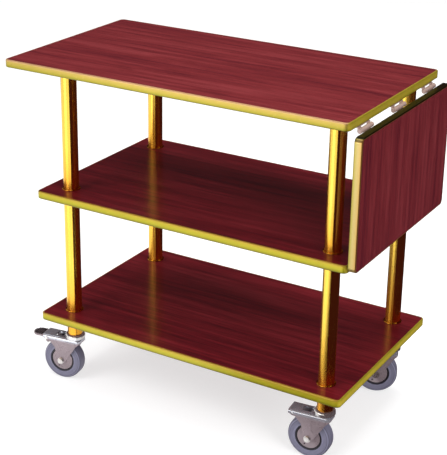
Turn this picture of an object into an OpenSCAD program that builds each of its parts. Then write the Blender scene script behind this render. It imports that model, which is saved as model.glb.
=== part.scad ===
// Room service table: a wood-grain top and two shelves with gold edging on four columns of gold
// tube, four swivel casters, and a drop leaf that hangs from the right-hand end of the top.
// The table stands on its wheels at z = 0. X runs along its length, and the leaf is at +X.

/* [Boards] */
// Width of the top, the shelves and the leaf, over their edging
board_w = 490; // [440:5:600]
// Thickness of every board
board_t = 19; // [16:1:25]
// Outer radius of every board's corners
corner_r = 12; // [10:1:30]
// Height of the bottom shelf's face above the floor
bottom_z = 195; // [170:5:240]
// Rise from the bottom shelf's face to the middle shelf's face
middle_rise = 325; // [310:5:400]
// Rise from the middle shelf's face to the top's face
top_rise = 315; // [260:5:328]
// Reach of the top past the left-hand columns' axes
top_left_reach = 144; // [60:2:200]
// Reach of the top past the right-hand columns' axes
top_right_reach = 50; // [49:1:56]

/* [Edging] */
// How far the edging stands out from the board
edging_t = 3.5; // [3:0.5:5]
// Radius of the edging's outer edges
edging_round = 2.5; // [1:0.5:3]
// Depth of the tongue that holds the edging in the board's groove
tongue_l = 5; // [4:0.5:6]
// Thickness of the tongue
tongue_t = 2.2; // [1.5:0.1:3]

/* [Columns] */
// Outer diameter of the tubes
post_d = 38; // [32:1:40]
// Wall of the tubes
post_wall = 1.5; // [1:0.1:2.5]
// Distance between the columns' axes along the table
post_span_x = 704; // [660:2:710]
// Distance of the columns' axes in from the boards' long edges
post_inset = 60; // [57:1:75]
// Thickness of the rings where a tube meets a shelf
ring_t = 2; // [1.5:0.1:2.5]
// Radius of the bead round a ring's rim
bead_r = 1.5; // [1.3:0.1:2]
// Space between the bead and the tube
bead_gap = 0.5; // [0.3:0.1:2]
// Length of a ring's boss inside the tube
boss_l = 6; // [4:0.5:12]
// Diameter of the tie rods
rod_d = 10; // [8:0.5:12]
// How far the flanges under the top stand out from the tubes
flange_reach = 8; // [7.5:0.5:9]
// Thickness of the flanges
flange_t = 3; // [2:0.5:5]
// Length of a flange's spigot inside the tube
spigot_l = 18; // [12:1:30]
// Length of the plugs in the stub posts
plug_l = 24; // [18:1:34]

/* [Casters] */
// Diameter of the wheels
wheel_d = 105; // [96:1:110]
// Width of the tyres
tyre_w = 30; // [26:1:32]
// Radius of the tyres' shoulders
tyre_round = 7; // [4:0.5:9]
// Diameter of the wheel core that the tyre sits on
core_d = 66; // [60:1:70]
// Thickness of the core's rim
rim_t = 3; // [2:0.5:5]
// Diameter of the axle bolts
axle_d = 8; // [6:0.5:10]
// Distance from the swivel axis back to the axle
trail = 32; // [28:1:36]
// Width between the fork's side plates
fork_gap = 38; // [38:1:42]
// Thickness of the fork's steel
fork_t = 2.5; // [2:0.1:3]
// Length of the fork's crown behind the swivel axis
crown_l = 82; // [79:1:88]
// Reach of the fork's crown in front of the swivel axis
crown_front = 20; // [18:0.5:23]
// Outer radius of the bend between crown and side plates
fork_bend = 6; // [4:0.5:8]
// Outer radius of the fork's front corners
fork_corner = 10; // [9:0.5:14]
// Space between the wheel and the fork's crown
crown_gap = 10; // [8:0.5:12]
// Radius of the fork's eyes round the axle
eye_r = 11; // [9:0.5:14]
// Height of the ball race on the crown
race_h = 4.4; // [4.2:0.1:6]
// Diameter of the bearing cap
cap_d = 50; // [48:0.5:56]
// Height of the bearing cap above its balls
cap_h = 8; // [7:0.5:14]
// Diameter of the kingpin
kingpin_d = 12; // [10:0.5:14]
// Diameter of the threaded stem in the stub post
stem_d = 10; // [8:0.5:12]
// Length of the threaded stem
stem_l = 11; // [8:0.5:14]
// Diameter of the bearing balls
ball_d = 4; // [3:0.2:4.4]
// Balls in each race
ball_count = 16; // [8:1:20]
// How far the front left caster is turned from trailing to the left
front_left_turn = 8; // [-180:1:180]
// How far the front right caster is turned
front_right_turn = 5; // [-180:1:180]
// How far the rear left caster is turned
rear_left_turn = -12; // [-180:1:180]
// How far the rear right caster is turned
rear_right_turn = 22; // [-180:1:180]

/* [Brake] */
// Distance from the swivel axis back to the brake pin
pin_back = 72; // [70:1:75]
// Depth of the brake pin below the crown's inner face
pin_drop = 5.5; // [5.5:0.5:7]
// Diameter of the brake pin
pin_d = 5; // [4:0.5:6]
// Width of the pedal
pedal_w = 36; // [34:0.5:37]
// Length of the pedal's tread
tread_l = 34; // [26:1:40]
// Thickness of the tread
tread_t = 3.5; // [2.5:0.5:5]
// Ribs across the tread
rib_count = 5; // [3:1:7]
// Angle that the pedal turns through
pedal_travel = 28; // [15:1:30]

/* [Leaf] */
// Length of the leaf, from its hinged edge to its free edge
leaf_l = 302; // [220:2:310]
// Gap between the top and the raised leaf
leaf_gap = 5; // [4:0.5:6]
// Space between the hanging leaf and the shelves
leaf_clear = 2; // [1:0.5:20]
// Depth of the hinge pin's axis below the boards
hinge_drop = 8; // [7.5:0.5:9]
// Length of each hinge along its pin
hinge_w = 60; // [40:2:70]
// Distance of the outer hinges from the middle one
hinge_pitch = 172; // [160:2:180]
// Thickness of the hinge plates
hinge_t = 2; // [1.5:0.1:2.4]
// Length of a hinge plate along the board
hinge_l = 20; // [16:0.5:20]
// Diameter of the hinge pins
hinge_pin_d = 5; // [4:0.5:6]
// Outer diameter of the hinge knuckles
knuckle_d = 11; // [10:0.5:11.5]

/* [Leaf supports] */
// Distance of each pull-out bar from the table's middle
bar_offset = 88; // [78:1:98]
// Width of the bars
bar_w = 24; // [16:1:28]
// Thickness of the bars
bar_t = 6; // [4:0.5:6]
// How far the bars pull out
bar_travel = 210; // [150:5:220]
// Distance of a pushed-in bar's end from the top's end
bar_inset = 26; // [24:1:40]
// Length of a pushed-in bar that stands out of its front guide, to grip it by
grip_l = 24; // [20:1:40]
// Thickness of the guides' steel
guide_t = 2; // [1.5:0.1:3]
// Length of a guide along its bar
guide_l = 20; // [14:1:30]

/* [Fits] */
// Radial clearance of pins and shafts that turn
turn_gap = 0.06; // [0.02:0.01:0.1]
// Radial clearance of plugs and bosses that are fixed in tubes
plug_gap = 0.1; // [0.05:0.01:0.2]
// Clearance between faces that slide past each other
side_gap = 0.3; // [0.2:0.05:0.5]
// Space between the bars and the boards above them
bar_head_gap = 1; // [0.5:0.1:1.5]

/* [Hidden] */
$fn = 64;

// Colours
wood_colour = [0.40, 0.09, 0.10];
gold_colour = [0.85, 0.68, 0.18];
steel_colour = [0.62, 0.60, 0.62];
rubber_colour = [0.50, 0.50, 0.54];
dark_colour = [0.22, 0.20, 0.21];

// Heights
middle_z = bottom_z + middle_rise;
top_z = middle_z + top_rise;
top_under = top_z - board_t;
crown_z = wheel_d + crown_gap;
crown_top = crown_z + fork_t;
race_top = crown_top + race_h;
race_gap = 0.4;
cap_z = race_top + race_gap;
caster_h = cap_z + cap_h;
stub_l = bottom_z - board_t - ring_t - caster_h;

// Distance between the columns' axes across the table
post_span_y = board_w - 2 * post_inset;

// Lengths along the table, from the middle of the columns
top_left = -post_span_x / 2 - top_left_reach;
top_right = post_span_x / 2 + top_right_reach;
top_l = top_right - top_left;
hinge_x = top_right + leaf_gap;
hinge_z = top_under - hinge_drop;
leaf_outer_x = hinge_x + hinge_drop + board_t;
shelf_l = 2 * (hinge_x + hinge_drop - leaf_clear);
// The part's frame has its origin under the middle of the table's length, leaf included
centre_x = -(top_left + leaf_outer_x) / 2;

// Screws
screw_r = 1.9;
screw_hole_r = 2;
screw_head_r = 3;
screw_head_h = 2.2;
screw_l = 12;
ring_r = post_d / 2 + bead_gap + 2 * bead_r;
flange_r = post_d / 2 + flange_reach;
flange_screw_r = (post_d / 2 + flange_r) / 2;
hinge_screw_y = hinge_w / 2 - 12;
hinge_screw_x = leaf_gap + edging_t + tongue_l + screw_hole_r + 0.5;
leaf_screw_x = knuckle_d / 2 + hinge_l / 2 + 1;
hinges = [-hinge_pitch, 0, hinge_pitch];
sides = [-1, 1];

// Leaf supports
bar_x = top_right - bar_inset;
bar_head_l = 10;
guide_span = 190;
front_guide_x = bar_x - grip_l - guide_l;
back_guide_x = front_guide_x - guide_span + guide_l;
bar_back = back_guide_x - side_gap - bar_travel - bar_head_l;
bar_l = bar_x - bar_back;
guide_inner_w = bar_w + 2 * side_gap;
guide_inner_h = bar_head_gap + bar_t + side_gap;
guide_foot = 14;
guide_screw_y = guide_inner_w / 2 + guide_t + guide_foot / 2;

// Caster parts
fork_r = fork_gap / 2 + fork_t;
boss_h = 1;
axle_z = wheel_d / 2;
hub_w = fork_gap - 2 * side_gap;
hub_r = axle_d / 2 + 6;
pin_z = crown_z - pin_drop;
pin_reach = norm([pin_back - trail, pin_z - axle_z]);
shoe_r = 6;
shoe_lag = 15;
shoe_reach = pin_reach * cos(shoe_lag)
    - sqrt(pow(wheel_d / 2 + shoe_r + side_gap, 2) - pow(pin_reach * sin(shoe_lag), 2));
shoe_angle = atan2(axle_z - pin_z, pin_back - trail) - pedal_travel - shoe_lag;
tread_start = crown_l + 2;
ball_ring_r = 17;
cap_skirt_t = 1;
race_r = cap_d / 2 - cap_skirt_t - 1.5;

// Corners of the table, as signs along X and Y
front_left = [-1, -1];
front_right = [1, -1];
rear_left = [-1, 1];
rear_right = [1, 1];
corners = [front_left, front_right, rear_left, rear_right];

// Point where the line from p touches the circle of radius r round c, on the side given by s
function touch(p, c, r, s) =
    let (
        away = p - c,
        a = atan2(away[1], away[0]) + s * acos(r / norm(away))
    )
    c + r * [cos(a), sin(a)];

// ---- Placing ----

// Moves a piece from the columns' frame to the part's frame
module placed() {
    translate([centre_x, 0, 0]) children();
}

// Puts a piece on one column's axis
module on_column(corner) {
    translate([centre_x + corner[0] * post_span_x / 2, corner[1] * post_span_y / 2, 0]) children();
}

// Puts a piece on every column's axis
module on_columns() {
    for (corner = corners) on_column(corner) children();
}

// Turns a piece of a caster about its swivel axis, under one column
module in_caster(corner, turn) {
    on_column(corner) rotate([0, 0, turn]) children();
}

// Puts a leaf piece, drawn raised with the pin's axis at the origin, in its hanging place
module hanging() {
    translate([centre_x + hinge_x, 0, hinge_z]) rotate([0, 90, 0]) children();
}

// ---- Boards and edging ----

module round_rect(l, w, r) {
    square([l - 2 * r, w], center = true);
    square([l, w - 2 * r], center = true);
    for (x = sides, y = sides) translate([x * (l / 2 - r), y * (w / 2 - r)]) circle(r);
}

// A board without its edging, centred, with a groove round its edge for the tongue
module board(l) {
    groove = 0.2;
    inset = 2 * (edging_t + tongue_l + groove);
    difference() {
        linear_extrude(board_t)
            round_rect(l - 2 * edging_t, board_w - 2 * edging_t, corner_r - edging_t);
        translate([0, 0, (board_t - tongue_t) / 2 - groove / 2])
            linear_extrude(tongue_t + groove)
                difference() {
                    square([l, board_w], center = true);
                    round_rect(l - inset, board_w - inset, corner_r - inset / 2);
                }
    }
}

// Section of the edging, with the board's edge at x = 0 and the outside at +x
module edging_section() {
    square([edging_t - edging_round, board_t]);
    translate([0, edging_round]) square([edging_t, board_t - 2 * edging_round]);
    intersection() {
        for (y = [edging_round, board_t - edging_round])
            translate([edging_t - edging_round, y]) circle(edging_round);
        square([edging_t, board_t]);
    }
    translate([-tongue_l, (board_t - tongue_t) / 2]) square([tongue_l + 0.1, tongue_t]);
}

module edging_run(l) {
    rotate([90, 0, 0]) linear_extrude(l, center = true) edging_section();
}

module edging_corner() {
    rotate_extrude(angle = 90) translate([corner_r - edging_t, 0]) edging_section();
}

// The edging round a whole board of length l
module edging(l) {
    spans = [l, board_w, l, board_w];
    for (i = [0 : 3]) {
        rotate([0, 0, 90 * i]) {
            translate([spans[i] / 2 - edging_t, 0, 0]) edging_run(spans[(i + 1) % 4] - 2 * corner_r);
            translate([spans[i] / 2 - corner_r, spans[(i + 1) % 4] / 2 - corner_r, 0]) edging_corner();
        }
    }
}

// Holes for the tie rods through a board that lies at height z
module rod_holes(z) {
    on_columns() translate([0, 0, z - 1]) cylinder(d = rod_d + 1, h = board_t + 2);
}

module at_flange_screws() {
    on_columns() for (a = [60 : 120 : 300])
        rotate([0, 0, a]) translate([flange_screw_r, 0, 0]) children();
}

module at_hinge_screws() {
    for (y = hinges, s = sides)
        placed() translate([hinge_x - hinge_screw_x, y + s * hinge_screw_y, 0]) children();
}

module at_guides() {
    for (s = sides, x = [front_guide_x, back_guide_x])
        placed() translate([x, s * bar_offset, top_under]) children();
}

module at_guide_screws() {
    at_guides() for (s = sides) translate([guide_l / 2, s * guide_screw_y, 0]) children();
}

module screw_hole() {
    translate([0, 0, -1]) cylinder(r = screw_hole_r, h = screw_l + 1.5);
}

module top_board() {
    color(wood_colour) difference() {
        placed() translate([(top_left + top_right) / 2, 0, top_under]) board(top_l);
        translate([0, 0, top_under]) at_flange_screws() screw_hole();
        translate([0, 0, top_under]) at_hinge_screws() screw_hole();
        at_guide_screws() screw_hole();
    }
}

module top_edging() {
    color(gold_colour) placed()
        translate([(top_left + top_right) / 2, 0, top_under]) edging(top_l);
}

module shelf(z) {
    color(wood_colour) difference() {
        placed() translate([0, 0, z - board_t]) board(shelf_l);
        rod_holes(z - board_t);
    }
}

module shelf_edging(z) {
    color(gold_colour) placed() translate([0, 0, z - board_t]) edging(shelf_l);
}

// ---- Columns ----

module tube(z, h) {
    color(gold_colour) translate([0, 0, z]) difference() {
        cylinder(d = post_d, h = h);
        translate([0, 0, -1]) cylinder(d = post_d - 2 * post_wall, h = h + 2);
    }
}

module upper_post() {
    tube(middle_z + ring_t, top_under - flange_t - middle_z - ring_t);
}

module lower_post() {
    tube(bottom_z + ring_t, middle_rise - board_t - 2 * ring_t);
}

module stub_post() {
    tube(caster_h, stub_l);
}

// A ring that seats on a face at z = 0 and takes a tube above it
module ring() {
    color(gold_colour) difference() {
        rotate_extrude() {
            square([ring_r - bead_r, ring_t]);
            translate([ring_r - bead_r, bead_r]) circle(bead_r);
            square([post_d / 2 - post_wall - plug_gap, ring_t + boss_l]);
        }
        translate([0, 0, -1]) cylinder(d = rod_d + 1, h = ring_t + boss_l + 2);
    }
}

// Rings over both shelves, under the middle shelf and under the bottom shelf
module post_rings() {
    on_columns() {
        for (z = [bottom_z, middle_z]) {
            translate([0, 0, z]) ring();
            translate([0, 0, z - board_t]) mirror([0, 0, 1]) ring();
        }
    }
}

module top_flange() {
    color(gold_colour) translate([0, 0, top_under]) difference() {
        union() {
            translate([0, 0, -flange_t]) cylinder(r = flange_r, h = flange_t);
            translate([0, 0, -flange_t - spigot_l])
                cylinder(r = post_d / 2 - post_wall - plug_gap, h = spigot_l + 1);
        }
        translate([0, 0, -flange_t - spigot_l - 1])
            cylinder(r = rod_d / 2 + plug_gap, h = flange_t + spigot_l + 2);
        for (a = [60 : 120 : 300])
            rotate([0, 0, a]) translate([flange_screw_r, 0, -flange_t - 1])
                cylinder(r = screw_hole_r, h = flange_t + 2);
    }
}

module tie_rod() {
    rod_z = caster_h + stem_l + 1;
    color(steel_colour) translate([0, 0, rod_z]) cylinder(d = rod_d, h = top_under - 1 - rod_z);
}

// The plug in a stub post, with one bore for the rod above and the stem below
module stub_plug() {
    color(steel_colour) translate([0, 0, caster_h]) difference() {
        cylinder(r = post_d / 2 - post_wall - plug_gap, h = plug_l);
        translate([0, 0, -1]) cylinder(r = stem_d / 2 + plug_gap, h = stem_l + 1.5);
        translate([0, 0, stem_l + 0.5]) cylinder(r = rod_d / 2 + plug_gap, h = plug_l);
    }
}

// ---- Casters: the swivel axis is at x = 0, the floor at z = 0, and the wheel trails to -x ----

// Half section of the space that the balls run in
module ball_track(gap) {
    translate([ball_ring_r, race_top + race_gap / 2]) circle(d = ball_d + 2 * gap);
}

module caster_stem() {
    skirt_z = crown_top + 1.5;
    cap_round = 6;
    cap_r = cap_d / 2;
    color(steel_colour) {
        rotate_extrude() difference() {
            union() {
                translate([0, skirt_z]) square([cap_r, caster_h - cap_round - skirt_z]);
                translate([0, skirt_z]) square([cap_r - cap_round, caster_h - skirt_z]);
                translate([cap_r - cap_round, caster_h - cap_round]) circle(cap_round);
            }
            translate([-1, skirt_z - 1]) square([cap_r - cap_skirt_t + 1, cap_z - skirt_z + 1]);
            ball_track(0);
        }
        translate([0, 0, crown_z - side_gap - 3]) cylinder(d = kingpin_d, h = cap_z - crown_z + 5);
        translate([0, 0, crown_z - side_gap - 3.5]) cylinder(d = kingpin_d + 8, h = 3.5);
        translate([0, 0, caster_h - 1]) cylinder(d = stem_d, h = stem_l + 1);
    }
}

module swivel_balls() {
    color(steel_colour) on_columns() for (i = [1 : ball_count])
        rotate([0, 0, 360 * i / ball_count])
            translate([ball_ring_r, 0, race_top + race_gap / 2]) sphere(d = ball_d, $fn = 24);
}

// Section of the hood's wall from its middle out to r, with a rounded upper edge
module hood_section(r, top, bend) {
    square([r, top - bend]);
    square([r - bend, top]);
    intersection() {
        translate([r - bend, top - bend]) circle(bend);
        square([r, top]);
    }
}

// Solid hood, open behind, with rounded upper edges and rounded corners in front
module hood(r, front, corner, top, bend) {
    for (s = [0, 1]) mirror([0, s, 0]) {
        rotate([90, 0, -90]) translate([0, 0, corner - front])
            linear_extrude(crown_l + front - corner) hood_section(r, top, bend);
        translate([front - corner, r - corner, 0])
            rotate_extrude(angle = 90) hood_section(corner, top, bend);
        rotate([90, 0, 0]) translate([0, 0, corner - r]) linear_extrude(r - corner)
            hood_section(front, top, bend);
    }
}

// Side view of the fork: a deep skirt that tapers to the eye round the axle
module fork_side() {
    axle = [-trail, axle_z];
    chin = [crown_front - 9, crown_z - 16];
    heel = [-trail - 17, crown_z - 28];
    polygon([
        [-crown_l - 1, crown_top + 1],
        [crown_front + 1, crown_top + 1],
        [crown_front + 1, crown_z - 8],
        chin,
        touch(chin, axle, eye_r, -1),
        touch(heel, axle, eye_r, 1),
        heel,
        [-pin_back + 8, crown_z - 12],
        [-pin_back, crown_z - 11],
        [-crown_l - 1, crown_z - 6]
    ]);
    translate(axle) circle(eye_r);
}

// Raised panel on the front half of a side plate, as seen from the side, with a straight back edge
module fork_panel() {
    margin = 3;
    back_x = -trail + 11;
    chin = [crown_front - 9 - margin, crown_z - 16];
    polygon([
        [back_x, crown_z - 7],
        [crown_front - fork_corner, crown_z - 7],
        [crown_front - fork_corner, crown_z - 12],
        chin,
        [back_x, axle_z + 20]
    ]);
}

module fork() {
    step_h = 1.5;
    window_l = 22;
    window_w = 20;
    window_x = -41;
    color(steel_colour) difference() {
        union() {
            difference() {
                intersection() {
                    hood(fork_r, crown_front, fork_corner, crown_top, fork_bend);
                    rotate([90, 0, 0]) linear_extrude(3 * fork_r, center = true) fork_side();
                }
                translate([0, 0, -1]) hood(
                    fork_r - fork_t, crown_front - fork_t, fork_corner - fork_t,
                    crown_z + 1, fork_bend - fork_t
                );
                translate([-crown_l - 1, 0, crown_z / 2])
                    cube([4, 2 * (fork_r - fork_bend), crown_z], center = true);
            }
            for (s = sides) {
                translate([0, s * (fork_r + step_h / 2), 0])
                    rotate([90, 0, 0]) linear_extrude(step_h, center = true) fork_panel();
                translate([-trail, s * (fork_r + boss_h / 2), axle_z])
                    rotate([90, 0, 0]) cylinder(r = eye_r - 2, h = boss_h, center = true);
                translate([-trail - 15, s * fork_r, crown_z - 7])
                    rotate([90, 0, 0]) cylinder(r = 2.2, h = 2, center = true);
            }
            translate([0, 0, crown_top - 1]) cylinder(r = race_r, h = race_h + 1);
        }
        rotate_extrude() ball_track(0.25);
        translate([0, 0, crown_z - 1])
            cylinder(r = kingpin_d / 2 + turn_gap, h = race_top - crown_z + 2);
        translate([window_x, 0, crown_z - 1]) linear_extrude(fork_t + 2)
            round_rect(window_l, window_w, 4);
        translate([-trail, 0, axle_z]) rotate([90, 0, 0])
            cylinder(r = axle_d / 2 + turn_gap, h = 3 * fork_r, center = true);
        translate([-pin_back, 0, pin_z]) rotate([90, 0, 0])
            cylinder(r = pin_d / 2 + turn_gap, h = 3 * fork_r, center = true);
    }
}

// The axle bolt with its hexagonal head in front, and its washer and nut behind
module axle() {
    head_af = axle_d + 5;
    head_h = 3.5;
    seat_y = fork_r + boss_h;
    washer_t = 1.2;
    translate([-trail, 0, axle_z]) rotate([90, 0, 0]) color(steel_colour) {
        translate([0, 0, -seat_y - washer_t - head_h - 2])
            cylinder(d = axle_d, h = 2 * seat_y + washer_t + head_h + 2.5);
        translate([0, 0, seat_y]) cylinder(d = head_af + 4, h = washer_t);
        translate([0, 0, seat_y + washer_t - 0.01]) intersection() {
            cylinder(d = head_af * 2 / sqrt(3), h = head_h, $fn = 6);
            translate([0, 0, -4]) sphere(r = 10);
        }
    }
    translate([-trail, 0, axle_z]) rotate([90, 0, 0]) color(steel_colour)
        translate([0, 0, -seat_y - washer_t]) {
            difference() {
                cylinder(d = head_af + 4, h = washer_t);
                translate([0, 0, -1]) cylinder(r = axle_d / 2 + turn_gap, h = washer_t + 2);
            }
            difference() {
                translate([0, 0, -head_h]) cylinder(d = head_af * 2 / sqrt(3), h = head_h + 0.01, $fn = 6);
                translate([0, 0, -head_h - 1]) cylinder(r = axle_d / 2 + turn_gap, h = head_h + 2);
            }
        }
}

module about_axle() {
    translate([-trail, 0, axle_z]) rotate([90, 0, 0]) children();
}

// The wheel's core: a rim, a thin web with five ribs on each side, and a hub
module wheel_core() {
    rim_w = tyre_w - 4;
    web_t = 4;
    rib_t = 3;
    color(rubber_colour * 0.8) about_axle() difference() {
        union() {
            rotate_extrude() {
                translate([core_d / 2 - rim_t, -rim_w / 2]) square([rim_t, rim_w]);
                translate([hub_r - 1, -web_t / 2]) square([core_d / 2 - rim_t - hub_r + 2, web_t]);
                translate([0, -hub_w / 2]) square([hub_r, hub_w]);
            }
            for (i = [0 : 4]) rotate([0, 0, 72 * i])
                translate([hub_r - 1, -rib_t / 2, -rim_w / 2 + 4])
                    cube([core_d / 2 - rim_t - hub_r + 2, rib_t, rim_w - 8]);
        }
        cylinder(r = axle_d / 2 + turn_gap, h = 2 * hub_w, center = true);
    }
}

// The tyre: rounded shoulders, slightly hollow side walls and a lip that laps the core's rim
module tyre() {
    half = tyre_w / 2;
    color(rubber_colour) about_axle() rotate_extrude() difference() {
        union() {
            translate([core_d / 2, -half]) square([wheel_d / 2 - core_d / 2 - tyre_round, tyre_w]);
            translate([core_d / 2, -half + tyre_round])
                square([wheel_d / 2 - core_d / 2, tyre_w - 2 * tyre_round]);
            for (s = sides) translate([wheel_d / 2 - tyre_round, s * (half - tyre_round)])
                circle(tyre_round);
        }
        for (s = sides) translate([core_d / 2 + 5.5, s * (half + 9.4)]) circle(10);
    }
}

// The pair of dished guards that cover the wheel's sides, each with a small drain hole
module hub_guards() {
    dish_r = 90;
    guard_t = 1.4;
    inner_r = hub_r + side_gap;
    outer_r = core_d / 2 - rim_t - 2;
    lip_y = tyre_w / 2 - 1.5;
    dish_y = lip_y - sqrt(dish_r * dish_r - outer_r * outer_r);
    color(steel_colour) about_axle() difference() {
        for (s = [0, 1]) mirror([0, 0, s]) rotate_extrude() difference() {
            intersection() {
                translate([0, dish_y]) circle(dish_r, $fn = 180);
                translate([inner_r, lip_y - guard_t]) square([outer_r - inner_r, 20]);
            }
            translate([0, dish_y]) circle(dish_r - guard_t, $fn = 180);
        }
        rotate([0, 0, 245]) translate([20, 0, 0])
            cylinder(r = 2.2, h = 2 * hub_w, center = true);
    }
}

// Outline of the tread from above, rounded at its free end
module tread_outline(inset) {
    r = pedal_w / 2 - inset;
    translate([-tread_start - tread_l + pedal_w / 2, 0]) circle(r);
    translate([-tread_start - tread_l + pedal_w / 2, -r]) square([tread_l - pedal_w / 2, 2 * r]);
}

// The brake pedal: a ribbed tread on two cheeks, with a hub on the pin and a shoe over the tyre
module brake_pedal() {
    cheek_t = 2.5;
    cheek_y = pedal_w / 2 - cheek_t / 2;
    eye = pin_d / 2 + 2;
    tread_z = pin_z - 1;
    rib_h = 2;
    rib_pitch = (tread_l - 4) / rib_count;
    color(dark_colour) difference() {
        union() {
            translate([0, 0, tread_z]) linear_extrude(tread_t) tread_outline(0);
            translate([0, 0, tread_z + tread_t - 1]) linear_extrude(rib_h + 1) intersection() {
                tread_outline(2);
                for (i = [0 : rib_count - 1])
                    translate([-tread_start - 4 - rib_pitch * (i + 0.5), 0])
                        square([rib_pitch * 0.45, pedal_w], center = true);
            }
            for (s = sides) translate([0, s * cheek_y, 0])
                rotate([90, 0, 0]) linear_extrude(cheek_t, center = true) {
                    translate([-pin_back, pin_z]) circle(eye);
                    polygon([
                        [-pin_back, pin_z - eye],
                        [-pin_back, pin_z + eye],
                        [-tread_start - 4, tread_z + tread_t],
                        [-tread_start - 4, tread_z]
                    ]);
                }
            translate([-pin_back, 0, pin_z]) rotate([90, 0, 0])
                cylinder(r = eye, h = 2 * cheek_y, center = true);
            translate([-pin_back, 0, pin_z]) rotate([90, -shoe_angle, 0])
                linear_extrude(tyre_w - 6, center = true) {
                    translate([shoe_reach, 0]) circle(shoe_r);
                    translate([0, -eye]) square([shoe_reach, 2 * eye]);
                }
        }
        translate([-pin_back, 0, pin_z]) rotate([90, 0, 0])
            cylinder(r = pin_d / 2 + turn_gap, h = 3 * fork_r, center = true);
    }
}

module brake_pin() {
    color(steel_colour) translate([-pin_back, 0, pin_z]) rotate([90, 0, 0]) {
        cylinder(d = pin_d, h = 2 * fork_r + 1, center = true);
        for (s = sides) translate([0, 0, s * (fork_r + 1)]) cylinder(d = pin_d + 3, h = 2, center = true);
    }
}

// ---- Leaf and hinges: the leaf's pieces are drawn raised, with the pin's axis at the origin ----

module drop_leaf() {
    color(wood_colour) hanging() difference() {
        translate([leaf_l / 2, 0, hinge_drop]) board(leaf_l);
        for (y = hinges, s = sides)
            translate([leaf_screw_x, y + s * hinge_screw_y, hinge_drop]) screw_hole();
    }
}

module leaf_edging() {
    color(gold_colour) hanging()
        translate([leaf_l / 2, 0, hinge_drop]) edging(leaf_l);
}

// Section of one hinge half in the raised position, on the +x side: a plate along the board out
// to x = reach, a cranked neck down to the knuckle, and the knuckle round the pin
module hinge_section(reach) {
    neck_x = knuckle_d / 2 - hinge_t;
    difference() {
        union() {
            circle(d = knuckle_d);
            translate([neck_x, 0]) square([hinge_t, hinge_drop]);
            translate([neck_x, hinge_drop - hinge_t]) square([reach - neck_x, hinge_t]);
        }
        circle(r = hinge_pin_d / 2 + turn_gap);
    }
}

// One hinge half: its plate and neck between y = from and y = to
module hinge_part(from, to, reach) {
    translate([0, to, 0]) rotate([90, 0, 0]) linear_extrude(to - from) hinge_section(reach);
}

// Flat of a hinge half that carries the screws, over the hinge's whole width
module hinge_flat(reach) {
    translate([knuckle_d / 2, -hinge_w / 2, hinge_drop - hinge_t])
        cube([reach - knuckle_d / 2, hinge_w, hinge_t]);
}

module hinge_screw_holes(screw_x) {
    for (s = sides) translate([screw_x, s * hinge_screw_y, hinge_drop - hinge_t - 1]) {
        cylinder(r = screw_hole_r, h = hinge_t + 2);
        translate([0, 0, 1]) cylinder(r1 = screw_head_r + 0.1, r2 = screw_hole_r, h = hinge_t - 0.5);
    }
}

// Two outer knuckles, fixed under the top
module hinge_plates() {
    reach = leaf_gap + hinge_l + 1.5;
    middle_knuckle = hinge_w / 2 - 15;
    color(steel_colour) placed() for (y = hinges)
        translate([hinge_x, y, hinge_z]) mirror([1, 0, 0]) difference() {
            union() {
                hinge_part(-hinge_w / 2, -middle_knuckle - side_gap, reach);
                hinge_part(middle_knuckle + side_gap, hinge_w / 2, reach);
                hinge_flat(reach);
            }
            hinge_screw_holes(hinge_screw_x);
        }
}

// One middle knuckle, fixed to the leaf
module leaf_hinge_plates() {
    reach = knuckle_d / 2 + hinge_l + 1.5;
    middle_knuckle = hinge_w / 2 - 15;
    color(steel_colour) hanging() for (y = hinges) translate([0, y, 0]) difference() {
        union() {
            hinge_part(-middle_knuckle + side_gap, middle_knuckle - side_gap, reach);
            hinge_flat(reach);
        }
        hinge_screw_holes(leaf_screw_x);
    }
}

module hinge_pins() {
    color(steel_colour) placed() for (y = hinges) translate([hinge_x, y, hinge_z]) rotate([90, 0, 0]) {
        cylinder(d = hinge_pin_d, h = hinge_w, center = true);
        for (s = sides) translate([0, 0, s * (hinge_w / 2 + 0.75)])
            cylinder(d = hinge_pin_d + 2.5, h = 1.5, center = true);
    }
}

// ---- Screws: the shank points up from z = 0 ----

module flat_screw() {
    color(steel_colour) translate([0, 0, -hinge_t]) {
        cylinder(r1 = screw_head_r, r2 = screw_r, h = hinge_t - 0.5);
        cylinder(r = screw_r, h = hinge_t + screw_l);
    }
}

module round_screw(plate) {
    color(steel_colour) translate([0, 0, -plate]) {
        cylinder(r = screw_r, h = plate + screw_l);
        intersection() {
            translate([0, 0, -screw_head_h]) cylinder(r = screw_head_r, h = screw_head_h + 0.01);
            translate([0, 0, 1.4]) sphere(r = 3.9);
        }
    }
}

module underside_screws() {
    translate([0, 0, top_under]) at_flange_screws() round_screw(flange_t);
    translate([0, 0, top_under]) at_hinge_screws() flat_screw();
    at_guide_screws() round_screw(guide_t);
}

module leaf_screws() {
    hanging() for (y = hinges, s = sides)
        translate([leaf_screw_x, y + s * hinge_screw_y, hinge_drop]) flat_screw();
}

// ---- Leaf supports ----

// A pull-out bar with a rounded end and a wider head that stops it at the back guide
module support_bar(side) {
    nose = 5;
    color(steel_colour) placed()
        translate([0, side * bar_offset, top_under - bar_head_gap - bar_t]) linear_extrude(bar_t)
            union() {
                translate([bar_back, -bar_w / 2]) square([bar_l - nose, bar_w]);
                translate([bar_back, -bar_w / 2 + nose]) square([bar_l, bar_w - 2 * nose]);
                for (s = sides) translate([bar_x - nose, s * (bar_w / 2 - nose)]) circle(nose);
                translate([bar_back, -bar_w / 2 - 4]) square([bar_head_l, bar_w + 8]);
            }
}

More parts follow.
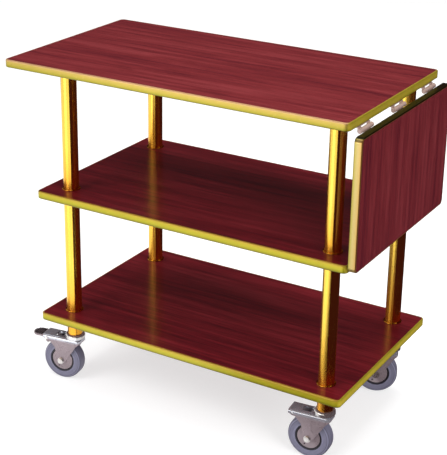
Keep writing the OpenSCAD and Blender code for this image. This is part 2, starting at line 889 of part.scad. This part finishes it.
// A bent steel guide that hangs a bar under the top, with a foot each side
module support_guides() {
    outer_w = guide_inner_w + 2 * guide_t;
    color(steel_colour) at_guides() difference() {
        rotate([90, 0, 90]) linear_extrude(guide_l) difference() {
            union() {
                translate([-outer_w / 2, -guide_inner_h - guide_t])
                    square([outer_w, guide_inner_h + guide_t]);
                translate([-outer_w / 2 - guide_foot, -guide_t])
                    square([outer_w + 2 * guide_foot, guide_t]);
            }
            translate([-guide_inner_w / 2, -guide_inner_h]) square([guide_inner_w, guide_inner_h + 1]);
        }
        for (s = sides) translate([guide_l / 2, s * guide_screw_y, -guide_t - 1])
            cylinder(r = screw_hole_r, h = guide_t + 2);
    }
}

// ---- Nodes ----

top_board();
top_edging();
shelf(middle_z);  // middle_shelf
shelf_edging(middle_z);  // middle_edging
shelf(bottom_z);  // bottom_shelf
shelf_edging(bottom_z);  // bottom_edging

on_column(front_left) upper_post();  // front_left_upper_post
on_column(front_right) upper_post();  // front_right_upper_post
on_column(rear_left) upper_post();  // rear_left_upper_post
on_column(rear_right) upper_post();  // rear_right_upper_post
on_column(front_left) lower_post();  // front_left_lower_post
on_column(front_right) lower_post();  // front_right_lower_post
on_column(rear_left) lower_post();  // rear_left_lower_post
on_column(rear_right) lower_post();  // rear_right_lower_post
on_columns() stub_post();  // stub_posts
post_rings();
on_columns() top_flange();  // top_flanges
on_columns() tie_rod();  // tie_rods
on_columns() stub_plug();  // stub_plugs

on_column(front_left) caster_stem();  // front_left_caster_stem
on_column(front_right) caster_stem();  // front_right_caster_stem
on_column(rear_left) caster_stem();  // rear_left_caster_stem
on_column(rear_right) caster_stem();  // rear_right_caster_stem
swivel_balls();

in_caster(front_left, front_left_turn) fork();  // front_left_fork
in_caster(front_right, front_right_turn) fork();  // front_right_fork
in_caster(rear_left, rear_left_turn) fork();  // rear_left_fork
in_caster(rear_right, rear_right_turn) fork();  // rear_right_fork
in_caster(front_left, front_left_turn) axle();  // front_left_axle
in_caster(front_right, front_right_turn) axle();  // front_right_axle
in_caster(rear_left, rear_left_turn) axle();  // rear_left_axle
in_caster(rear_right, rear_right_turn) axle();  // rear_right_axle
in_caster(front_left, front_left_turn) wheel_core();  // front_left_wheel_core
in_caster(front_right, front_right_turn) wheel_core();  // front_right_wheel_core
in_caster(rear_left, rear_left_turn) wheel_core();  // rear_left_wheel_core
in_caster(rear_right, rear_right_turn) wheel_core();  // rear_right_wheel_core
in_caster(front_left, front_left_turn) tyre();  // front_left_tyre
in_caster(front_right, front_right_turn) tyre();  // front_right_tyre
in_caster(rear_left, rear_left_turn) tyre();  // rear_left_tyre
in_caster(rear_right, rear_right_turn) tyre();  // rear_right_tyre
in_caster(front_left, front_left_turn) hub_guards();  // front_left_hub_guards
in_caster(front_right, front_right_turn) hub_guards();  // front_right_hub_guards
in_caster(rear_left, rear_left_turn) hub_guards();  // rear_left_hub_guards
in_caster(rear_right, rear_right_turn) hub_guards();  // rear_right_hub_guards
in_caster(front_left, front_left_turn) brake_pedal();  // front_left_brake_pedal
in_caster(rear_left, rear_left_turn) brake_pedal();  // rear_left_brake_pedal
in_caster(front_left, front_left_turn) brake_pin();  // front_left_brake_pin
in_caster(rear_left, rear_left_turn) brake_pin();  // rear_left_brake_pin

drop_leaf();
leaf_edging();
hinge_plates();
leaf_hinge_plates();
hinge_pins();
leaf_screws();
support_bar(-1);  // front_support_bar
support_bar(1);  // rear_support_bar
support_guides();
underside_screws();
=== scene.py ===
import math

import bpy
from mathutils import Matrix, Vector


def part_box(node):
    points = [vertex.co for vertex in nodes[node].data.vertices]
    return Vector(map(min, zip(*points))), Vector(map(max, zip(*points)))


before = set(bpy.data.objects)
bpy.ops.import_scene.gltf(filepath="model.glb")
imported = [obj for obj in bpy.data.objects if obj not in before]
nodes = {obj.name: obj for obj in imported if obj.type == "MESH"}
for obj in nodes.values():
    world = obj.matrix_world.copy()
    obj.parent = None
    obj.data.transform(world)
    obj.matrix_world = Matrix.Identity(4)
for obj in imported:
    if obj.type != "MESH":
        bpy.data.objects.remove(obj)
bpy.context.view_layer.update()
scene = bpy.context.scene

# ---- Places on the part, in metres and degrees ----

CORNERS = ("front_left", "front_right", "rear_left", "rear_right")
CASTER_TURNS = {"front_left": 8, "front_right": 5, "rear_left": -12, "rear_right": 22}
BOARD_T = 0.019
TOP_Z = 0.835
MIDDLE_Z = 0.520
BOTTOM_Z = 0.195
# Above the crowns' lower edge the zinc has a painted highlight
CROWN_EDGE = 0.1085  # lower edge of the forks' crowns
PEDAL_TOP = 0.112  # face of the brake pedals, between the ribs
TYRE_WALL = (0.030, 0.055)  # inner and outer radius of the tyres' side walls

# ---- Camera: the photograph's viewpoint, in metres, degrees and pixels ----

IMAGE_W = 447
IMAGE_H = 455
LONG_SIDE = max(IMAGE_W, IMAGE_H)
CAMERA_AT = (1.4806, -2.5470, 1.6504)
CAMERA_TILT = 20.734
CAMERA_PAN = 30.602
CAMERA_ROLL = 0.823
FOCAL_PX = 1301.75
CENTRE_X_PX = 215
CENTRE_Y_PX = 185
SENSOR_MM = 36.0

# ---- Colours of the part, in sRGB ----

# Wood: dark, middle and light grain. One laminate in two copies: the top's and the leaf's set is
# lighter and hazier as painted light and sheen, the shelves' set darker as painted shade under the
# top
WOOD_LIT_HAZY = ("581620", "742529", "923C40")
WOOD_SHADED = ("4A0914", "70161F", "962C35")
GRAIN_PLACES = (0.32, 0.5, 0.74)

# Edging: from the board's underside to its face, running from painted shade at the underside to a
# painted highlight on the face's lip.
# One gold in lit and shaded copies: the top's and the leaf's sets lit, the shelves' set shaded, and
# the end set lighter, painted light on the end faces
BAND_TOP_LIT = ("5E5A0E", "948A1E", "B29C3A", "C0A050", "D6A87E")
BAND_SHELF_SHADED = ("4A460A", "908812", "B6AC1E", "C2AA28", "B08A32")
BAND_LEAF_LIT = ("6A5E16", "AC9C50", "C0AA70", "C4A464", "C08848")
BAND_END_LIT = ("7A7214", "D0BE30", "ECD448", "E0C83C", "B4A430")
BAND_PLACES = (0.03, 0.2, 0.45, 0.78, 0.92)
# Dark olive on the leaf's hinged top edge: painted shade
BAND_HINGE_SHADE = "2E2C10"
BAND_SCUFF = "D2BE78"

GOLD_PALE = "F8D25A"
# Warmer gold near the shelves: painted reflection of the red wood
GOLD_SHELF_REFLECTION = "F0A436"
GOLD_HAZE = "ECBC42"
ZINC = "9A8A90"
ZINC_BRIGHT = "EEECE8"
# Lighter zinc on the forks' crowns: painted highlight
ZINC_CROWN_HIGHLIGHT = "CDD0DA"
ZINC_CLOUD = "8A7E82"
HINGE_METAL = "C4A596"
RUBBER = "6B697F"
RUBBER_DUST = "868498"
# Near-black: dark plastic darkened further as painted shade in the wheels' recess
CORE_WITH_SHADE = "26242B"
CORE_PATCH = "35333C"
PEDAL = "9A8C90"
PEDAL_RIB = "1C1A1E"

WHITE = (1, 1, 1, 1)
BLACK = (0, 0, 0, 1)


def rgb(text):
    """Linear colour from an sRGB hex string."""
    values = [int(text[i:i + 2], 16) / 255 for i in (0, 2, 4)]
    linear = [v / 12.92 if v <= 0.04045 else ((v + 0.055) / 1.055) ** 2.4 for v in values]
    return (*linear, 1.0)


def grey(value):
    return (value, value, value, 1)


# ---- Materials ----

class Graph:
    """A new material whose nodes are added one at a time. Inputs are values, or sockets to link."""

    def __init__(self, name):
        self.material = bpy.data.materials.new(name)
        self.material.use_nodes = True
        self.tree = self.material.node_tree
        self.shader = self.tree.nodes["Principled BSDF"]
        self.coords = self.add("ShaderNodeTexCoord").outputs["Object"]

    def add(self, kind, inputs=None, **settings):
        node = self.tree.nodes.new(kind)
        for key, value in settings.items():
            setattr(node, key, value)
        for key, value in (inputs or {}).items():
            self.put(node, key, value)
        return node

    def put(self, node, key, value):
        if isinstance(value, bpy.types.NodeSocket):
            self.tree.links.new(value, node.inputs[key])
        else:
            node.inputs[key].default_value = value

    def set(self, **inputs):
        for key, value in inputs.items():
            self.put(self.shader, key.replace("_", " "), value)

    def place(self, axis):
        """The object coordinate along one axis."""
        return self.add("ShaderNodeSeparateXYZ", {"Vector": self.coords}).outputs[axis]

    def noise(self, scale, detail, roughness=0.5, distortion=0.0, shift=(0, 0, 0)):
        """Noise whose scale along each axis is in waves per metre."""
        mapping = {"Vector": self.coords, "Scale": scale, "Location": shift}
        inputs = {
            "Vector": self.add("ShaderNodeMapping", mapping).outputs["Vector"], "Scale": 1.0,
            "Detail": detail, "Roughness": roughness, "Distortion": distortion,
        }
        return self.add("ShaderNodeTexNoise", inputs).outputs["Fac"]

    def even_noise(self, scale, detail, roughness=0.5):
        return self.noise((scale, scale, scale), detail, roughness)

    def ramp(self, factor, *stops):
        """A colour ramp. Each stop is (position, linear colour)."""
        node = self.add("ShaderNodeValToRGB", {"Fac": factor})
        elements = node.color_ramp.elements
        while len(elements) < len(stops):
            elements.new(0.5)
        for element, (position, colour) in zip(elements, stops):
            element.position = position
            element.color = colour
        return node.outputs["Color"]

    def profile(self, factor, positions, colours):
        """A colour ramp through sRGB colours."""
        return self.ramp(factor, *zip(positions, map(rgb, colours)))

    def span(self, value, low, high, from_low=0.0, from_high=1.0):
        """Maps a value from one range to another."""
        inputs = {
            "Value": value, "From Min": from_low, "From Max": from_high,
            "To Min": low, "To Max": high,
        }
        return self.add("ShaderNodeMapRange", inputs).outputs["Result"]

    def rise(self, value, start, end):
        """0 up to start, 1 from end on, and even in between."""
        return self.span(value, 0.0, 1.0, start, end)

    def mix(self, factor, a, b, mode="MIX"):
        inputs = {0: factor, 6: a, 7: b}
        return self.add("ShaderNodeMix", inputs, data_type="RGBA", blend_type=mode).outputs[2]

    def math(self, operation, a, b):
        return self.add("ShaderNodeMath", {0: a, 1: b}, operation=operation).outputs[0]

    def vector_math(self, operation, inputs, output):
        return self.add("ShaderNodeVectorMath", inputs, operation=operation).outputs[output]

    def bump(self, height, distance, strength):
        inputs = {"Height": height, "Distance": distance, "Strength": strength}
        self.set(Normal=self.add("ShaderNodeBump", inputs).outputs["Normal"])


def wood(name, colours, shift, upright=False):
    """Lacquered laminate with a dark red wood grain that runs along X, or along Z where upright."""
    g = Graph(name)

    def grain(along, across, detail, **settings):
        scale = (across, across, along) if upright else (along, across, across)
        return g.noise(scale, detail, shift=shift, **settings)

    bands = grain(0.8, 9, 3, distortion=0.5)
    streaks = grain(3.2, 75, 5, roughness=0.6)
    lines = grain(7, 260, 4, roughness=0.6)
    fibres = grain(16, 700, 3, roughness=0.7)
    figure = g.math("ADD", g.math("MULTIPLY", bands, 0.3), g.math("MULTIPLY", streaks, 0.7))
    base = g.profile(figure, GRAIN_PLACES, colours)
    dark_lines = g.ramp(lines, (0.34, (0.45, 0.32, 0.34, 1)), (0.48, WHITE))
    pores = g.ramp(fibres, (0.36, (0.4, 0.33, 0.33, 1)), (0.5, WHITE))
    lined = g.mix(0.45, base, dark_lines, "MULTIPLY")
    g.set(
        Base_Color=g.mix(0.6, lined, pores, "MULTIPLY"),
        Roughness=g.span(streaks, 0.3, 0.42),
        Specular_IOR_Level=0.15,
        Coat_Weight=1.0,
        Coat_Roughness=0.16,
        Coat_IOR=1.75,
    )
    g.bump(fibres, 0.00005, 0.4)
    return g.material


def edge_band(name, axis, start, metal, colours, hinged_z=None, end_x=None):
    """Gold edging with its colours along an axis, from start on, over the board's thickness.

    Its colours run from painted shade at the start of the thickness to a painted highlight at the
    face.
    The hinged edge, whose face is at hinged_z, is dark: painted shade. The end at end_x has its own
    lighter colours: painted light.
    """
    g = Graph(name)
    haze = g.even_noise(30, 3)
    scuffs = g.even_noise(140, 5, roughness=0.7)
    across = g.rise(g.place(axis), start, start + BOARD_T)
    # Painted shade at the start of the thickness, up to a painted highlight at the face
    skin_and_painted_light = g.profile(across, BAND_PLACES, colours)
    if end_x:
        # The end face gets lighter colours: painted light
        end_lit_mask = g.rise(g.place("X"), end_x - 0.006, end_x - 0.002)
        skin_and_painted_light = g.mix(end_lit_mask, skin_and_painted_light, g.profile(across, BAND_PLACES, BAND_END_LIT))
    skin_and_painted_light = g.mix(g.span(haze, 0.0, 0.4), skin_and_painted_light, rgb(colours[1]))
    if hinged_z:
        # The hinged edge turns dark olive: painted shade
        hinge_shade_mask = g.rise(g.place("Z"), hinged_z - 0.003, hinged_z - 0.002)
        skin_and_painted_light = g.mix(hinge_shade_mask, skin_and_painted_light, rgb(BAND_HINGE_SHADE))
    g.set(
        Base_Color=g.mix(g.span(scuffs, 0.0, 0.3, 0.58, 0.78), skin_and_painted_light, rgb(BAND_SCUFF)),
        Roughness=g.span(scuffs, 0.24, 0.36),
        Metallic=metal,
    )
    g.bump(scuffs, 0.00004, 0.3)
    return g.material


def gold_tube():
    """Gold plating, polished round the tube, so that its highlights run up and down."""
    g = Graph("gold_tube")
    rings = g.noise((25, 25, 1400), 3)
    haze = g.noise((22, 22, 7), 4)
    warm, pale = rgb(GOLD_SHELF_REFLECTION), rgb(GOLD_PALE)
    # Warmer gold just above each shelf and below the bottom one, pale between: painted reflection
    # of the red shelves
    plating = g.ramp(
        g.rise(g.place("Z"), 0.0, TOP_Z),
        (0.22, warm), (0.40, pale), (0.60, pale), (0.615, warm), (0.78, pale)
    )
    g.set(
        Base_Color=g.mix(g.span(haze, 0.0, 0.5), plating, rgb(GOLD_HAZE)),
        Roughness=g.span(haze, 0.19, 0.25),
        Metallic=1.0,
        Anisotropic=0.97,
        Tangent=g.add("ShaderNodeCombineXYZ", {"Z": 1.0}).outputs["Vector"],
    )
    g.bump(rings, 0.00002, 0.3)
    return g.material


def zinc(name, colour, smoothest, roughest, metal, crown_highlight_z=None):
    """Zinc plating: a cloudy grey metal with fine handling marks, with a painted highlight above
    the given height: lighter, glossier and more metallic there.
    """
    g = Graph(name)
    clouds = g.even_noise(38, 4)
    marks = g.noise((500, 900, 500), 4, roughness=0.7)
    waves = g.even_noise(45, 2)
    skin_and_painted_light = g.mix(g.span(clouds, 0.0, 0.6), rgb(colour), rgb(ZINC_CLOUD))
    roughness = g.span(clouds, smoothest, roughest)
    # Above the crown's edge: painted highlight, lighter, glossier and more metallic
    if crown_highlight_z:
        bright = g.rise(g.place("Z"), crown_highlight_z - 0.003, crown_highlight_z + 0.003)
        skin_and_painted_light = g.mix(bright, skin_and_painted_light, rgb(ZINC_CROWN_HIGHLIGHT))
        roughness = g.math("MULTIPLY", roughness, g.span(bright, 1.0, 0.6))
        metal = g.span(bright, metal, 0.75)
    g.set(Base_Color=skin_and_painted_light, Roughness=roughness, Metallic=metal)
    g.bump(g.math("ADD", g.math("MULTIPLY", marks, 0.05), waves), 0.0010, 0.3)
    return g.material


def rubber(corner, turn):
    """Grey moulded rubber, a little dusty, with moulded rings round the side walls drawn as painted
    shade in their grooves and painted highlights on their ridges.
    """
    g = Graph(f"{corner}_rubber")
    dust = g.even_noise(60, 6, roughness=0.65)
    pits = g.even_noise(900, 3)
    low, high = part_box(f"{corner}_tyre")
    to_centre = [-(a + b) / 2 for a, b in zip(low, high)]
    inputs = {"Vector": g.coords, "Location": to_centre}
    centred = g.add("ShaderNodeMapping", inputs).outputs["Vector"]
    inputs = {"Vector": centred, "Rotation": (0, 0, -math.radians(turn))}
    turned = g.add("ShaderNodeMapping", inputs).outputs["Vector"]
    side_on = g.vector_math("MULTIPLY", {0: turned, 1: (1, 0, 1)}, 0)
    radius = g.vector_math("LENGTH", {0: side_on}, "Value")
    # Dark and light rings by radius: painted shade in the grooves, painted highlights on the ridges
    ring_shade_and_highlights = g.ramp(
        g.rise(radius, *TYRE_WALL),
        (0.10, grey(0.2)), (0.16, grey(1.25)), (0.36, WHITE),
        (0.60, WHITE), (0.64, grey(0.4)), (0.68, grey(1.2)),
        (0.78, grey(1.1)), (0.82, grey(0.35)), (0.86, grey(0.9))
    )
    worn = g.mix(g.span(dust, 0.0, 0.6), rgb(RUBBER), rgb(RUBBER_DUST))
    g.set(
        Base_Color=g.mix(1.0, worn, ring_shade_and_highlights, "MULTIPLY"),
        Roughness=g.span(dust, 0.42, 0.6),
    )
    g.bump(pits, 0.0001, 0.4)
    return g.material


def wheel_core():
    """Dark moulded plastic with a fine grain, made near-black as painted shade in the recess
    between the guards and the tyres.
    """
    g = Graph("wheel_core")
    patches = g.even_noise(45, 4)
    g.set(
        Base_Color=g.mix(g.span(patches, 0.0, 0.6), rgb(CORE_WITH_SHADE), rgb(CORE_PATCH)),
        Roughness=g.span(patches, 0.44, 0.58),
    )
    g.bump(g.even_noise(420, 3), 0.00008, 0.3)
    return g.material


def pedal_finish():
    """Grey pedal whose raised ribs are black."""
    g = Graph("pedal")
    on_rib = g.rise(g.place("Z"), PEDAL_TOP + 0.0003, PEDAL_TOP + 0.0008)
    g.set(
        Base_Color=g.mix(on_rib, rgb(PEDAL), rgb(PEDAL_RIB)),
        Roughness=g.span(g.even_noise(60, 4), 0.25, 0.45),
        Metallic=0.1,
    )
    g.bump(g.even_noise(420, 3), 0.00006, 0.3)
    return g.material


def dress(material, *names):
    for name in names:
        slots = nodes[name].data.materials
        slots.clear()
        slots.append(material)


def at_corners(*pieces):
    return [f"{corner}_{piece}" for piece in pieces for corner in CORNERS]


def dress_boards():
    # The top and the leaf take the set with painted light and sheen, the shelves the set with
    # painted shade
    dress(wood("wood_top", WOOD_LIT_HAZY, (0.0, 0.0, 0.0)), "top_board")
    dress(wood("wood_middle", WOOD_SHADED, (3.1, 1.7, 0.4)), "middle_shelf")
    dress(wood("wood_bottom", WOOD_SHADED, (7.3, 4.2, 0.9)), "bottom_shelf")
    dress(wood("wood_leaf", WOOD_LIT_HAZY, (5.2, 2.6, 1.3), upright=True), "drop_leaf")
    for level, top_z, metal, colours in (
        ("top", TOP_Z, 0.55, BAND_TOP_LIT), ("middle", MIDDLE_Z, 0.45, BAND_SHELF_SHADED),
        ("bottom", BOTTOM_Z, 0.4, BAND_SHELF_SHADED)
    ):
        end_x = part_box(f"{level}_edging")[1][0]
        band = edge_band(f"{level}_band", "Z", top_z - BOARD_T, metal, colours, end_x=end_x)
        dress(band, f"{level}_edging")
    low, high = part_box("leaf_edging")
    band = edge_band("leaf_band", "X", high[0] - BOARD_T, 0.85, BAND_LEAF_LIT, hinged_z=high[2])
    dress(band, "leaf_edging")


def dress_metal():
    posts = at_corners("upper_post", "lower_post")
    dress(gold_tube(), *posts, "stub_posts", "post_rings", "top_flanges")
    # The forks' crowns get a painted highlight
    pressed = zinc("zinc_plate", ZINC, 0.2, 0.36, metal=0.35, crown_highlight_z=CROWN_EDGE)
    dress(pressed, *at_corners("fork", "hub_guards"))
    bright = zinc("zinc_bright", ZINC_BRIGHT, 0.14, 0.26, metal=0.9)
    dress(bright, *at_corners("caster_stem", "axle"), "swivel_balls", "tie_rods", "stub_plugs")
    dress(bright, "front_left_brake_pin", "rear_left_brake_pin", "underside_screws", "leaf_screws")
    hinge = zinc("hinge_metal", HINGE_METAL, 0.25, 0.4, metal=0.3)
    dress(hinge, "hinge_plates", "leaf_hinge_plates", "hinge_pins")
    dress(hinge, "front_support_bar", "rear_support_bar", "support_guides")


def dress_wheels():
    for corner, turn in CASTER_TURNS.items():
        dress(rubber(corner, turn), f"{corner}_tyre")
    dress(wheel_core(), *at_corners("wheel_core"))
    dress(pedal_finish(), "front_left_brake_pedal", "rear_left_brake_pedal")


# ---- Stage ----

WORLD_LIGHT = 0.55
FLOOR_SIZE = 60.0
FLOOR_GREY = grey(0.5)
FLOOR_LIFT = 0.6

# Name, place, size in metres, watts, and whether gloss mirrors it
LAMPS = (
    ("key", (-1.8, -3.0, 3.4), (2.4, 2.0), 75, False),
    ("strip", (-1.1, -2.6, 0.55), (1.6, 1.1), 12, True),
    ("fill", (3.4, -1.6, 2.2), (2.0, 2.0), 90, False),
    ("top", (0.0, 0.6, 4.2), (3.0, 2.0), 140, False),
)
LAMP_TARGET = (0.0, 0.0, 0.5)

# Linear colours of the cards, and how bright the ones that aren't dark are
DARK_BEHIND = (0.05, 0.02, 0.022, 1)
DARK_BESIDE = (0.045, 0.011, 0.02, 1)
WARM = (1, 0.6, 0.26, 1)
WARM_STRENGTH = 0.8
WHITE_STRENGTH = 1.7

# Ends of the upright cards, which stand round the table
FRONT_END = (1.1, -2.2)
FRONT_CORNER = (-0.6, -3.0)
LEFT_CORNER = (-2.8, -1.8)
BACK_END = (-2.64, 0.53)
BACK_CORNER = (0.9, 2.62)
RIGHT_CORNER = (2.6, 0.6)
RIGHT_END = (0.85, -1.75)

# Heights of the cards
FLOOR_CARD_Z = 0.002
BACK_LOW = 0.15
WALL_TOP = 4.0
WARM_LOW = 1.05
WARM_TOP = 1.7
FRONT_TOP = 4.5

# Outlines of the cards on the floor
FLOOR_CARD = (
    (-0.13, -0.36), (0.30, -0.36), (0.375, -0.24), (0.375, 0.28),
    (-0.55, 0.28), (-2.40, 4.50), (4.50, 4.50), (4.50, -1.75), RIGHT_END,
)
WHITE_CARD = ((-0.55, -0.36), (-0.13, -0.36), RIGHT_END, (0.35, -1.75))


def seen_directly(tree):
    """1 for rays from the camera, off gloss or through glass, and 0 for the rest."""
    path = tree.nodes.new("ShaderNodeLightPath")
    total = path.outputs["Is Camera Ray"]
    for name in ("Is Glossy Ray", "Is Transmission Ray"):
        node = tree.nodes.new("ShaderNodeMath")
        node.operation = "MAXIMUM"
        tree.links.new(total, node.inputs[0])
        tree.links.new(path.outputs[name], node.inputs[1])
        total = node.outputs[0]
    return total


def set_world():
    """Soft white light all round, in front of a background that renders pure white."""
    world = bpy.data.worlds.new("studio")
    scene.world = world
    world.use_nodes = True
    tree = world.node_tree
    background = tree.nodes["Background"]
    background.inputs["Color"].default_value = WHITE
    strength = tree.nodes.new("ShaderNodeMapRange")
    strength.inputs["To Min"].default_value = WORLD_LIGHT
    strength.inputs["To Max"].default_value = 1.0
    tree.links.new(seen_directly(tree), strength.inputs["Value"])
    tree.links.new(strength.outputs["Result"], background.inputs["Strength"])


def sheet(name, outline, base, **inputs):
    """A single face with its own matt material. Gives the object and the material's nodes."""
    mesh = bpy.data.meshes.new(name)
    mesh.from_pydata(outline, [], [tuple(range(len(outline)))])
    obj = bpy.data.objects.new(name, mesh)
    scene.collection.objects.link(obj)
    material = bpy.data.materials.new(name)
    material.use_nodes = True
    mesh.materials.append(material)
    shader = material.node_tree.nodes["Principled BSDF"]
    shader.inputs["Base Color"].default_value = base
    shader.inputs["Specular IOR Level"].default_value = 0.0
    for key, value in inputs.items():
        shader.inputs[key.replace("_", " ")].default_value = value
    return obj, material.node_tree


def make_floor():
    """White floor, lifted a little so that only the object's soft shadow shows on it."""
    half = FLOOR_SIZE / 2
    outline = [(-half, -half, 0), (half, -half, 0), (half, half, 0), (-half, half, 0)]
    floor, tree = sheet("floor", outline, FLOOR_GREY, Roughness=0.9, Emission_Color=WHITE)
    lift = tree.nodes.new("ShaderNodeMath")
    lift.operation = "MULTIPLY"
    lift.inputs[1].default_value = FLOOR_LIFT
    tree.links.new(seen_directly(tree), lift.inputs[0])
    strength = tree.nodes["Principled BSDF"].inputs["Emission Strength"]
    tree.links.new(lift.outputs[0], strength)


def card(name, outline, colour, strength=1.0):
    """A studio card that only gloss sees, to shape what the polished tubes and boards mirror."""
    obj, tree = sheet(name, outline, BLACK, Emission_Color=colour, Emission_Strength=strength)
    obj.visible_camera = False
    obj.visible_diffuse = False
    obj.visible_shadow = False


def wall(start, end, low, high):
    return [(*start, low), (*end, low), (*end, high), (*start, high)]


def on_floor(outline):
    return [(x, y, FLOOR_CARD_Z) for x, y in outline]


def set_cards():
    """Dark red cards all round, a white strip on the floor, and a warm band in front."""
    card("back_card", wall(BACK_END, BACK_CORNER, BACK_LOW, WALL_TOP), DARK_BEHIND)
    card("right_card", wall(RIGHT_END, RIGHT_CORNER, 0.0, WALL_TOP), DARK_BESIDE)
    card("far_card", wall(RIGHT_CORNER, BACK_CORNER, 0.0, WALL_TOP), DARK_BESIDE)
    card("floor_card", on_floor(FLOOR_CARD), DARK_BESIDE)
    card("bright_card", on_floor(WHITE_CARD), WHITE, WHITE_STRENGTH)
    front, left = (FRONT_END, FRONT_CORNER), (FRONT_CORNER, LEFT_CORNER)
    card("warm_front_card", wall(*front, WARM_LOW, WARM_TOP), WARM, WARM_STRENGTH)
    card("warm_left_card", wall(*left, WARM_LOW, WARM_TOP), WARM, WARM_STRENGTH)
    card("high_front_card", wall(*front, WARM_TOP, FRONT_TOP), DARK_BEHIND)
    card("high_left_card", wall(*left, WARM_TOP, FRONT_TOP), DARK_BEHIND)
    card("left_card", wall(LEFT_CORNER, BACK_END, WARM_LOW, FRONT_TOP), DARK_BEHIND)


def set_lamps():
    for name, at, size, watts, mirrored in LAMPS:
        data = bpy.data.lights.new(name, "AREA")
        data.shape = "RECTANGLE"
        data.size, data.size_y = size
        data.energy = watts
        obj = bpy.data.objects.new(name, data)
        scene.collection.objects.link(obj)
        obj.location = at
        aim = Vector(LAMP_TARGET) - Vector(at)
        obj.rotation_euler = aim.to_track_quat("-Z", "Y").to_euler()
        obj.visible_glossy = mirrored


def set_camera():
    tilt, pan, roll = (math.radians(a) for a in (CAMERA_TILT, CAMERA_PAN, CAMERA_ROLL))
    forward = Vector((
        -math.sin(pan) * math.cos(tilt), math.cos(pan) * math.cos(tilt), -math.sin(tilt)
    ))
    level_right = Vector((math.cos(pan), math.sin(pan), 0))
    level_up = level_right.cross(forward)
    right = level_right * math.cos(roll) + level_up * math.sin(roll)
    up = right.cross(forward)
    data = bpy.data.cameras.new("camera")
    camera = bpy.data.objects.new("camera", data)
    scene.collection.objects.link(camera)
    placed = Matrix((right, up, -forward)).transposed().to_4x4()
    placed.translation = Vector(CAMERA_AT)
    camera.matrix_world = placed
    data.sensor_width = SENSOR_MM
    data.lens = FOCAL_PX * SENSOR_MM / LONG_SIDE
    data.shift_x = (IMAGE_W / 2 - CENTRE_X_PX) / LONG_SIDE
    data.shift_y = (CENTRE_Y_PX - IMAGE_H / 2) / LONG_SIDE
    scene.camera = camera


dress_boards()
dress_metal()
dress_wheels()
set_world()
make_floor()
set_lamps()
set_cards()
set_camera()
scene.view_settings.view_transform = "Standard"
